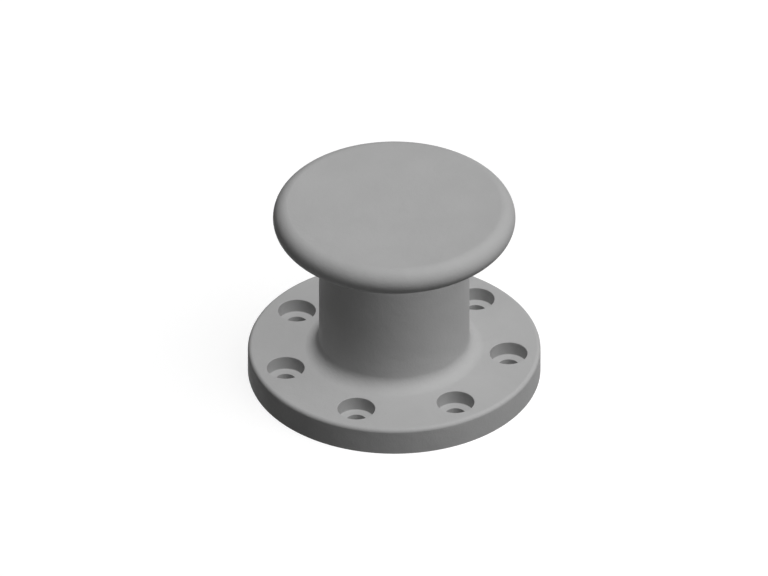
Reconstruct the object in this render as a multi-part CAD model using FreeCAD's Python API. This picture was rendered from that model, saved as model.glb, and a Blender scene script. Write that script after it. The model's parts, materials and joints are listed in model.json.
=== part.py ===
import FreeCAD, Part
import math
import os

# Pillar bollard for ships' mooring lines: one hollow iron casting, in millimetres.
# It stands on z = 0 with its axis on +Z. The first of its anchor bolt holes lies on +Y.

# Flange, the round foot that is bolted to the quay
flange_diameter = 700
flange_thickness = 70
flange_edge_radius = 10

# Column, the barrel that the mooring line bears on
column_diameter = 360
root_radius = 35
neck_chamfer = 35

# Head, a flat disc with a full-round rim that keeps the line on the column
head_diameter = 580
head_thickness = 70
overall_height = 480

# Holes for M42 anchor bolts, each counterbored for its washer and nut
bolt_count = 7
bolt_circle_diameter = 550
bolt_hole_diameter = 48
counterbore_diameter = 90
counterbore_depth = 35
first_bolt_angle = 90

# Core, the hollow inside the casting, open at the foot
wall_thickness = 45
crown_thickness = 60
core_roof_chamfer = 45
core_mouth_chamfer = 10

# How far a cutting tool stands out past the faces that it cuts
tool_overrun = 5

# A round is slender when its radius is under this share of its distance from the axis
slender_share = 0.05

origin = FreeCAD.Vector(0, 0, 0)
up = FreeCAD.Vector(0, 0, 1)
same_place = 1e-6


def corner_arc(last, corner, following):
    """Start, middle, end and centre of the arc that rounds a corner. Corners are (x, z, radius)."""
    point = FreeCAD.Vector(corner[0], 0, corner[1])
    radius = corner[2]
    to_last = (FreeCAD.Vector(last[0], 0, last[1]) - point).normalize()
    to_next = (FreeCAD.Vector(following[0], 0, following[1]) - point).normalize()
    bisector = (to_last + to_next).normalize()
    half_angle = to_last.getAngle(to_next) / 2
    tangent_length = radius / math.tan(half_angle)
    centre_distance = radius / math.sin(half_angle)
    return (
        point + to_last * tangent_length,
        point + bisector * (centre_distance - radius),
        point + to_next * tangent_length,
        point + bisector * centre_distance,
    )


def halves(edge):
    """The two equal halves of an edge."""
    return edge.split(sum(edge.ParameterRange) / 2).Edges


def rounded_outline(corners):
    """Closed face in the XZ plane. Each corner is (x, z, radius), with straight sides between.
    Two neighbouring rounds that share a centre become one full round. A slender round is drawn
    as two arcs, because two short bands take fewer facets than one."""
    arcs = []
    for i, corner in enumerate(corners):
        following = corners[(i + 1) % len(corners)]
        start, middle, end, centre = corner_arc(corners[i - 1], corner, following)
        if arcs and centre.isEqual(arcs[-1][3], same_place):
            start, _, middle, _ = arcs.pop()
        arcs.append((start, middle, end, centre))

    edges = []
    for i, (start, middle, end, centre) in enumerate(arcs):
        if not start.isEqual(end, same_place):
            arc = Part.Arc(start, middle, end).toShape()
            slender = start.distanceToPoint(centre) < slender_share * centre.x
            edges.extend(halves(arc) if slender else [arc])
        next_start = arcs[(i + 1) % len(arcs)][0]
        if not end.isEqual(next_start, same_place):
            edges.append(Part.makeLine(end, next_start))
    return Part.Face(Part.Wire(edges))


def turned(corners):
    """Solid of revolution about the bollard's axis."""
    return rounded_outline(corners).revolve(origin, up, 360)


def casting_blank():
    """Flange, column and head, before any hollow or hole."""
    flange_radius = flange_diameter / 2
    column_radius = column_diameter / 2
    head_radius = head_diameter / 2
    rim_radius = head_thickness / 2
    head_underside = overall_height - head_thickness
    return turned(
        [
            (0, 0, 0),
            (flange_radius, 0, 0),
            (flange_radius, flange_thickness, flange_edge_radius),
            (column_radius, flange_thickness, root_radius),
            (column_radius, head_underside - neck_chamfer, 0),
            (column_radius + neck_chamfer, head_underside, 0),
            (head_radius, head_underside, rim_radius),
            (head_radius, overall_height, rim_radius),
            (0, overall_height, 0),
        ]
    )


def core():
    """The hollow: a round bore up the column, chamfered at its mouth and under its roof."""
    core_radius = column_diameter / 2 - wall_thickness
    mouth_radius = core_radius + core_mouth_chamfer
    roof_radius = core_radius - core_roof_chamfer
    roof_height = overall_height - crown_thickness
    return turned(
        [
            (0, -tool_overrun, 0),
            (mouth_radius, -tool_overrun, 0),
            (mouth_radius, 0, 0),
            (core_radius, core_mouth_chamfer, 0),
            (core_radius, roof_height - core_roof_chamfer, 0),
            (roof_radius, roof_height, 0),
            (0, roof_height, 0),
        ]
    )


def bolt_hole():
    """Clearance hole and counterbore for one anchor bolt, at the first bolt's place."""
    clearance = Part.makeCylinder(
        bolt_hole_diameter / 2,
        flange_thickness,
        FreeCAD.Vector(0, 0, -tool_overrun),
    )
    counterbore = Part.makeCylinder(
        counterbore_diameter / 2,
        counterbore_depth + tool_overrun,
        FreeCAD.Vector(0, 0, flange_thickness - counterbore_depth),
    )
    hole = clearance.fuse(counterbore)
    hole.translate(FreeCAD.Vector(bolt_circle_diameter / 2, 0, 0))
    hole.rotate(origin, up, first_bolt_angle)
    return hole


def bolt_holes():
    """The anchor bolt holes, evenly spaced round the bolt circle."""
    holes = []
    for i in range(bolt_count):
        hole = bolt_hole()
        hole.rotate(origin, up, i * 360 / bolt_count)
        holes.append(hole)
    return holes


def bollard_casting():
    """The finished casting, as one solid."""
    return casting_blank().cut([core(), *bolt_holes()]).Solids[0]


os.makedirs("parts", exist_ok=True)
bollard_casting().exportStep("parts/bollard_casting.step")
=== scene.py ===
import bmesh
import bpy
import math
from mathutils import Matrix, Vector
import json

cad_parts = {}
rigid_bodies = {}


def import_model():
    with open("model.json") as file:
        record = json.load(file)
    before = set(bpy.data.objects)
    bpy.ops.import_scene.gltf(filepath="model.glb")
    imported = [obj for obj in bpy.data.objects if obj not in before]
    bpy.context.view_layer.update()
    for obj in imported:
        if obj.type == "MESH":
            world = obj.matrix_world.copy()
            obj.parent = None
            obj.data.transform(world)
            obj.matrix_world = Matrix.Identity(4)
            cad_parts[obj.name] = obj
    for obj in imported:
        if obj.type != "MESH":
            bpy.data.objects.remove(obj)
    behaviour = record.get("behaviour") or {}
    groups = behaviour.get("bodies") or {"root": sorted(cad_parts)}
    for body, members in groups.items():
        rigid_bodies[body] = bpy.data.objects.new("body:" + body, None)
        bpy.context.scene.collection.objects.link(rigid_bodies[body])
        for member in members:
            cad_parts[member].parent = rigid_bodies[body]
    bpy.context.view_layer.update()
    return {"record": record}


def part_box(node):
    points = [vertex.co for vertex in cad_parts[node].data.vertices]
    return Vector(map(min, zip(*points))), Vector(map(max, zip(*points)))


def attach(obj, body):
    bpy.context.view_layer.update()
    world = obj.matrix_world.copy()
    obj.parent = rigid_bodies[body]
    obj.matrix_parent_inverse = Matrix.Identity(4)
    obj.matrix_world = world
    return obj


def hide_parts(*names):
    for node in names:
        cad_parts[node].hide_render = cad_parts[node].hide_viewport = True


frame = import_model()

bpy.context.scene.view_settings.view_transform = "Standard"

nearEnough = 2e-5  # metres, for finding an edge or a face by its place
facesThatWay = 0.9  # least share of a face's normal along the way that it faces


# Small helpers for working in edit mode

def deselectAll():
    for item in bpy.context.scene.objects:
        item.select_set(False)


def makeActive(item):
    deselectAll()
    item.select_set(True)
    bpy.context.view_layer.objects.active = item


def addRound(name, radius, bottom, top, segments):
    # a closed cylinder standing on z = bottom, left in edit mode with nothing selected
    deselectAll()
    bpy.ops.mesh.primitive_cylinder_add(
        vertices=segments, radius=radius, depth=top - bottom, location=(0, 0, (bottom + top) / 2))
    item = bpy.context.object
    item.name = name
    item.data.name = name
    bpy.ops.object.transform_apply(location=True, rotation=True, scale=True)
    bpy.ops.object.mode_set(mode="EDIT")
    bpy.ops.mesh.select_all(action="DESELECT")
    return item


def selectCap(item, height, facing):
    # the flat end at one height that faces up (1) or down (-1); the ring faces round it have 4 sides
    bpy.ops.mesh.select_mode(type="FACE")
    bpy.ops.mesh.select_all(action="DESELECT")
    mesh = bmesh.from_edit_mesh(item.data)
    for face in mesh.faces:
        level = abs(face.calc_center_median().z - height) < nearEnough
        face.select = level and face.normal.z * facing > facesThatWay and len(face.verts) > 4
    bmesh.update_edit_mesh(item.data)


def growCap(steps, radius, height):
    # extrudes the selected end along the outline, one (radius, height) after another
    for nextRadius, nextHeight in steps:
        bpy.ops.mesh.extrude_region_move(
            TRANSFORM_OT_translate={"value": (0, 0, nextHeight - height)})
        share = nextRadius / radius
        bpy.ops.transform.resize(value=(share, share, 1), center_override=(0, 0, nextHeight))
        radius, height = nextRadius, nextHeight


def bevelRings(item, rings, width, steps):
    # rounds the circular edges at each (radius, height), in so many steps
    bpy.ops.mesh.select_mode(type="EDGE")
    bpy.ops.mesh.select_all(action="DESELECT")
    mesh = bmesh.from_edit_mesh(item.data)
    for edge in mesh.edges:
        for radius, height in rings:
            if all(abs(v.co.z - height) < nearEnough and abs(v.co.xy.length - radius) < nearEnough
                   for v in edge.verts):
                edge.select = True
    bmesh.update_edit_mesh(item.data)
    bpy.ops.mesh.bevel(offset=width, offset_type="OFFSET", segments=steps, profile=0.5,
                       affect="EDGES", clamp_overlap=False)


# Casting

casting = {
    "segments": 256,
    "flangeThickness": 0.070,
    "headRadius": 0.290,
    "headThickness": 0.070,
    "neckChamfer": 0.035,
    "mouthRadius": 0.145,
    "coreRadius": 0.135,
    "coreShoulder": 0.375,
    "roofRadius": 0.090,
    "roofHeight": 0.420,
    "baseEdge": (0.002, 2),  # how wide each edge is rounded, and in how many steps
    "flangeEdge": (0.010, 8),
    "root": (0.035, 14),
    "neckEdges": (0.006, 4),  # cast corners are never quite sharp
    "rim": (0.035, 14),
    "sharpest": 32,  # degrees between faces that are still shaded as one surface
}

mounts = {mount["name"]: mount for mount in frame["record"]["mounts"]}
nodeLow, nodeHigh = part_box("bollard_casting")
flangeRadius = nodeHigh.x
headTop = nodeHigh.z
columnRadius = mounts["rope_barrel"]["dims"]["r_mm"] / 1000
headUnderside = headTop - casting["headThickness"]


def makeCasting():
    flangeTop = casting["flangeThickness"]
    headRadius = casting["headRadius"]
    body = addRound("bollardCasting", flangeRadius, 0, flangeTop, casting["segments"])

    # column and head, drawn up from the flange
    selectCap(body, flangeTop, 1)
    neck = casting["neckChamfer"]
    growCap([
        (columnRadius, flangeTop),
        (columnRadius, headUnderside - neck),
        (columnRadius + neck, headUnderside),
        (headRadius, headUnderside),
        (headRadius, headTop),
    ], flangeRadius, flangeTop)

    # hollow, pushed up from the base
    selectCap(body, 0, -1)
    growCap([
        (casting["mouthRadius"], 0),
        (casting["coreRadius"], casting["mouthRadius"] - casting["coreRadius"]),
        (casting["coreRadius"], casting["coreShoulder"]),
        (casting["roofRadius"], casting["roofHeight"]),
    ], flangeRadius, 0)

    neckEdges = [(columnRadius, headUnderside - neck), (columnRadius + neck, headUnderside)]
    rimEdges = [(headRadius, headUnderside), (headRadius, headTop)]
    bevelRings(body, [(flangeRadius, 0)], *casting["baseEdge"])
    bevelRings(body, [(flangeRadius, flangeTop)], *casting["flangeEdge"])
    bevelRings(body, [(columnRadius, flangeTop)], *casting["root"])
    bevelRings(body, neckEdges, *casting["neckEdges"])
    bevelRings(body, rimEdges, *casting["rim"])
    bpy.ops.mesh.select_all(action="SELECT")
    bpy.ops.mesh.remove_doubles(threshold=nearEnough)
    bpy.ops.mesh.normals_make_consistent(inside=False)
    bpy.ops.object.mode_set(mode="OBJECT")
    return body


# Bolt holes

boltHole = {
    "segments": 96,
    "seatRadius": 0.045,
    "seatDepth": 0.035,
    "rimChamfer": 0.001,
    "cornerRound": (0.001, 3),  # width and steps
    "holeChamfer": 0.0006,
    "standOut": 0.005,  # how far the cutter reaches past the flange
}

anchorBolts = mounts["anchor_bolts"]["dims"]
boltCount = anchorBolts["count"]
boltCircle = anchorBolts["pcd_mm"] / 2000
holeRadius = anchorBolts["hole_r_mm"] / 1000
boltAxes = [
    Matrix.Rotation(i * 2 * math.pi / boltCount, 4, "Z") @ Vector((0, boltCircle, 0))
    for i in range(boltCount)
]


def makeHoleCutter():
    flangeTop = casting["flangeThickness"]
    seat = flangeTop - boltHole["seatDepth"]
    seatRadius = boltHole["seatRadius"]
    rim, lip, standOut = boltHole["rimChamfer"], boltHole["holeChamfer"], boltHole["standOut"]
    cutter = addRound("holeCutter", holeRadius + lip, -standOut, 0, boltHole["segments"])
    selectCap(cutter, 0, 1)
    growCap([
        (holeRadius, lip),
        (holeRadius, seat - lip),
        (holeRadius + lip, seat),
        (seatRadius, seat),
        (seatRadius, flangeTop - rim),
        (seatRadius + rim, flangeTop),
        (seatRadius + rim, flangeTop + standOut),
    ], holeRadius + lip, 0)
    bevelRings(cutter, [(seatRadius, seat)], *boltHole["cornerRound"])
    bpy.ops.mesh.select_all(action="SELECT")
    bpy.ops.mesh.normals_make_consistent(inside=False)
    bpy.ops.object.mode_set(mode="OBJECT")
    return cutter


def cutBoltHoles(body):
    pattern = makeHoleCutter()
    for axis in boltAxes:
        cutter = pattern.copy()
        cutter.data = pattern.data.copy()
        cutter.data.transform(Matrix.Translation(axis))
        bpy.context.scene.collection.objects.link(cutter)
        makeActive(body)
        cut = body.modifiers.new("boltHole", "BOOLEAN")
        cut.operation = "DIFFERENCE"
        cut.solver = "EXACT"
        cut.object = cutter
        bpy.ops.object.modifier_apply(modifier=cut.name)
        bpy.data.objects.remove(cutter)
    bpy.data.objects.remove(pattern)


def smoothCasting(body):
    makeActive(body)
    bpy.ops.object.shade_smooth_by_angle(angle=math.radians(casting["sharpest"]))
    weighted = body.modifiers.new("weightedNormal", "WEIGHTED_NORMAL")
    weighted.mode = "FACE_AREA"
    weighted.keep_sharp = True
    weighted.weight = 100  # the largest faces stay flat
    bpy.ops.object.modifier_apply(modifier=weighted.name)


bollard = makeCasting()
cutBoltHoles(bollard)
smoothCasting(bollard)
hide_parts("bollard_casting")
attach(bollard, "root")
print("casting made,", len(bollard.data.polygons), "faces")


# Finishes

castCoat = {  # matte grey coat over the sand-cast skin
    "colour": 0.40,
    "colourSpread": 0.012,  # how far patches are lighter or darker
    "patchScale": 7.0,
    "roughness": (0.58, 0.70),
    "specular": 0.1,
    "relief": [  # scale, detail and height in metres of each layer, coarse to fine
        (16.0, 2, 0.0016),
        (80.0, 2, 0.0004),
        (230.0, 4, 0.0003),
    ],
}

seatFinish = {  # the cutter's rings in the seats, under the same coat
    "colour": 0.40,
    "colourSpread": 0.008,
    "patchScale": 30.0,
    "roughness": (0.48, 0.56),
    "specular": 0.1,
    "ringPitch": 0.0015,
    "ringHeight": 0.00006,
}

boreRingsAndPaintedShade = {  # the walls of the counterbores and bolt holes, with the cutter's rings; their darker colour is painted shade in the recesses
    # painted shade: darker than the coat's 0.40, standing for the shade inside the bores
    "colour": 0.33,
    "colourSpread": 0.012,
    "patchScale": 30.0,
    "roughness": (0.56, 0.66),
    "specular": 0.1,
    "ringPitch": 0.0015,
    "ringHeight": 0.00006,
}

baseFinish = {  # the faced underside
    "colour": 0.38,
    "colourSpread": 0.02,
    "patchScale": 9.0,
    "roughness": (0.5, 0.6),
    "specular": 0.25,
    "ringPitch": 0.0025,
    "ringHeight": 0.00008,
}

coreFinish = {  # bare skin left by the sand core
    "colour": 0.27,
    "colourSpread": 0.05,
    "patchScale": 14.0,
    "roughness": (0.78, 0.9),
    "specular": 0.2,
    "relief": [
        (22.0, 2, 0.002),
        (120.0, 4, 0.0009),
    ],
}


noiseRange = (0.3, 0.7)  # where most of a noise lies
patchDetail = 5
sheenDetail = 3
sheenFineness = 2.3  # sheen varies this much faster than colour


def addNoise(tree, place, scale, detail):
    noise = tree.nodes.new("ShaderNodeTexNoise")
    noise.inputs["Scale"].default_value = scale
    noise.inputs["Detail"].default_value = detail
    tree.links.new(place, noise.inputs["Vector"])
    return noise.outputs[0]


def addSpread(tree, noise, low, high):
    # stretches a noise to run from low to high
    spread = tree.nodes.new("ShaderNodeMapRange")
    spread.inputs["From Min"].default_value = noiseRange[0]
    spread.inputs["From Max"].default_value = noiseRange[1]
    spread.inputs["To Min"].default_value = low
    spread.inputs["To Max"].default_value = high
    tree.links.new(noise, spread.inputs["Value"])
    return spread.outputs["Result"]


def addBump(tree, height, distance, under=None):
    bump = tree.nodes.new("ShaderNodeBump")
    bump.inputs["Distance"].default_value = distance
    tree.links.new(height, bump.inputs["Height"])
    if under:
        tree.links.new(under, bump.inputs["Normal"])
    return bump.outputs["Normal"]


def startFinish(name, values):
    material = bpy.data.materials.new(name)
    material.use_nodes = True
    tree = material.node_tree
    shader = tree.nodes["Principled BSDF"]
    shader.inputs["Specular IOR Level"].default_value = values["specular"]
    place = tree.nodes.new("ShaderNodeTexCoord").outputs["Object"]
    colour, spread = values["colour"], values["colourSpread"]
    patches = addNoise(tree, place, values["patchScale"], patchDetail)
    patchColour = addSpread(tree, patches, colour - spread, colour + spread)
    tree.links.new(patchColour, shader.inputs["Base Color"])
    sheen = addNoise(tree, place, values["patchScale"] * sheenFineness, sheenDetail)
    tree.links.new(addSpread(tree, sheen, *values["roughness"]), shader.inputs["Roughness"])
    return material, tree, shader, place


def castFinish(name, values):
    # sand grain on top of pebbling and slow waves
    material, tree, shader, place = startFinish(name, values)
    normal = None
    for scale, detail, height in values["relief"]:
        normal = addBump(tree, addNoise(tree, place, scale, detail), height, normal)
    tree.links.new(normal, shader.inputs["Normal"])
    return material


def turnedFinish(name, values):
    # rings left by a cutter: toolPath counts metres along its path
    material, tree, shader, _ = startFinish(name, values)
    path = tree.nodes.new("ShaderNodeAttribute")
    path.attribute_name = "toolPath"
    turns = tree.nodes.new("ShaderNodeMath")
    turns.operation = "MULTIPLY"
    turns.inputs[1].default_value = 2 * math.pi / values["ringPitch"]
    tree.links.new(path.outputs["Fac"], turns.inputs[0])
    rings = tree.nodes.new("ShaderNodeMath")
    rings.operation = "SINE"
    tree.links.new(turns.outputs[0], rings.inputs[0])
    tree.links.new(addBump(tree, rings.outputs[0], values["ringHeight"]), shader.inputs["Normal"])
    return material


def toNearestBolt(point):
    return min(math.hypot(point.x - axis.x, point.y - axis.y) for axis in boltAxes)


def finishOf(corners):
    # which finish a face of the casting takes, by the place of all its corners
    top = max(corner.z for corner in corners)
    level = top - min(corner.z for corner in corners) < nearEnough
    inFlange = top < casting["flangeThickness"] + nearEnough
    if inFlange and all(toNearestBolt(c) < boltHole["seatRadius"] + nearEnough for c in corners):
        return "seat" if level else "bore"
    if level and top < nearEnough:
        return "base"
    inHollow = all(c.xy.length < casting["mouthRadius"] + nearEnough for c in corners)
    if inHollow and top < casting["roofHeight"] + nearEnough:
        return "core"
    return "coat"


def finishCasting(body):
    mesh = body.data
    mesh.materials.clear()
    finishes = {
        "coat": castFinish("castCoat", castCoat),
        "seat": turnedFinish("seatFinish", seatFinish),
        # the bore walls take a darker colour, which is painted shade, not a different metal or coat
        "bore": turnedFinish("boreRingsAndPaintedShade", boreRingsAndPaintedShade),
        "base": turnedFinish("baseFinish", baseFinish),
        "core": castFinish("coreFinish", coreFinish),
    }
    for finish in finishes.values():
        mesh.materials.append(finish)
    order = list(finishes)

    # a cutter's path runs out from its axis and then up the wall
    path = mesh.attributes.new("toolPath", "FLOAT", "CORNER")
    for face in mesh.polygons:
        corners = [mesh.vertices[i].co for i in face.vertices]
        finish = finishOf(corners)
        face.material_index = order.index(finish)
        for loop, corner in zip(face.loop_indices, corners):
            atBolt = finish in ("seat", "bore")
            fromAxis = toNearestBolt(corner) if atBolt else corner.xy.length
            path.data[loop].value = fromAxis + corner.z


finishCasting(bollard)
print("finishes made")


# Floor and background

floorLook = {
    "halfSize": 12.0,
    "seenColour": 1.13,  # what the camera and reflections see, just past white
    "bounceColour": 0.02,  # what lights the object from below
}

studio = {
    "ambient": 0.03,
    "background": 1.0,  # strength that the camera sees, 1 is white
    "lampDistance": 4.0,
    "shadowSoftness": 60,  # degrees across
    "fillSoftness": 20,
    "lamps": {  # degrees right of the camera, degrees up, strength, share that casts a shadow
        "key": (60, 57, 2.17, 0.15),
        "side": (90, 60, 1.0, 0.15),
        "front": (-15, 20, 0.27, 0),
    },
    "backStrength": 1.3,
    "backSoftness": 1,
}


def addSeenOrLit(tree, seenValue, litValue):
    # one value for what the camera, gloss and glass show, another for light on the object
    rays = tree.nodes.new("ShaderNodeLightPath")
    seen = rays.outputs["Is Camera Ray"]
    for kind in ("Is Glossy Ray", "Is Transmission Ray"):
        either = tree.nodes.new("ShaderNodeMath")
        either.operation = "MAXIMUM"
        tree.links.new(seen, either.inputs[0])
        tree.links.new(rays.outputs[kind], either.inputs[1])
        seen = either.outputs[0]
    choice = tree.nodes.new("ShaderNodeMapRange")
    choice.inputs["To Min"].default_value = litValue
    choice.inputs["To Max"].default_value = seenValue
    tree.links.new(seen, choice.inputs["Value"])
    return choice.outputs["Result"]


def makeFloor():
    deselectAll()
    size = floorLook["halfSize"] * 2
    bpy.ops.mesh.primitive_plane_add(size=size, location=(0, 0, nodeLow.z))
    floor = bpy.context.object
    floor.name = "studioFloor"
    material = bpy.data.materials.new("studioFloor")
    material.use_nodes = True
    tree = material.node_tree
    tree.nodes.clear()
    matt = tree.nodes.new("ShaderNodeBsdfDiffuse")
    colour = addSeenOrLit(tree, floorLook["seenColour"], floorLook["bounceColour"])
    tree.links.new(colour, matt.inputs["Color"])
    output = tree.nodes.new("ShaderNodeOutputMaterial")
    tree.links.new(matt.outputs["BSDF"], output.inputs["Surface"])
    floor.data.materials.append(material)


def makeWorld():
    world = bpy.data.worlds.new("studioWorld")
    bpy.context.scene.world = world
    world.use_nodes = True
    tree = world.node_tree
    sky = tree.nodes["Background"]
    sky.inputs["Color"].default_value = (1, 1, 1, 1)
    strength = addSeenOrLit(tree, studio["background"], studio["ambient"])
    tree.links.new(strength, sky.inputs["Strength"])


# Lamps and camera

photoView = {
    "azimuth": 45.0,
    "elevation": math.degrees(math.atan(1 / math.sqrt(2))),
    "imageSize": (768, 576),
    "flangeWidth": 292.8,  # pixels
    "baseCentre": (394.2, 369.6),  # pixels
    "distance": 5.0,  # metres
}


def towards(azimuth, elevation):
    a, e = math.radians(azimuth), math.radians(elevation)
    return Vector((math.sin(a) * math.cos(e), -math.cos(a) * math.cos(e), math.sin(e)))


def addSun(name, direction, strength, softness, shadow):
    lamp = bpy.data.lights.new(name, "SUN")
    lamp.energy = strength
    lamp.angle = math.radians(softness)
    lamp.use_shadow = shadow
    holder = bpy.data.objects.new(name, lamp)
    bpy.context.scene.collection.objects.link(holder)
    holder.location = direction * studio["lampDistance"]
    holder.rotation_euler = direction.to_track_quat("Z", "Y").to_euler()
    return holder


def makeLamps():
    # most of the light casts no shadow, as in the photo
    for name, (right, up, strength, shadowShare) in studio["lamps"].items():
        direction = towards(photoView["azimuth"] + right, up)
        addSun(name + "Fill", direction, strength * (1 - shadowShare), studio["fillSoftness"], False)
        if shadowShare:
            addSun(name + "Soft", direction, strength * shadowShare, studio["shadowSoftness"], True)

    # straight opposite the camera, so it lights only the side that the photo doesn't show
    opposite = -towards(photoView["azimuth"], photoView["elevation"])
    back = addSun("back", opposite, studio["backStrength"], studio["backSoftness"], False)
    back.visible_glossy = False  # no glint along edges that it only grazes


def makeCamera():
    wide, high = photoView["imageSize"]
    metresPerPixel = 2 * flangeRadius / photoView["flangeWidth"]
    toCamera = towards(photoView["azimuth"], photoView["elevation"])
    right = Vector((-toCamera.y, toCamera.x, 0)).normalized()
    up = toCamera.cross(right)
    offsetRight = (photoView["baseCentre"][0] - wide / 2) * metresPerPixel
    offsetDown = (photoView["baseCentre"][1] - high / 2) * metresPerPixel
    baseCentre = Vector((0, 0, nodeLow.z))
    aim = baseCentre - right * offsetRight + up * offsetDown
    lens = bpy.data.cameras.new("photoCamera")
    lens.type = "ORTHO"
    lens.ortho_scale = wide * metresPerPixel
    camera = bpy.data.objects.new("photoCamera", lens)
    bpy.context.scene.collection.objects.link(camera)
    camera.location = aim + toCamera * photoView["distance"]
    camera.rotation_euler = toCamera.to_track_quat("Z", "Y").to_euler()
    bpy.context.scene.camera = camera


makeFloor()
makeWorld()
makeLamps()
makeCamera()
print("studio made")
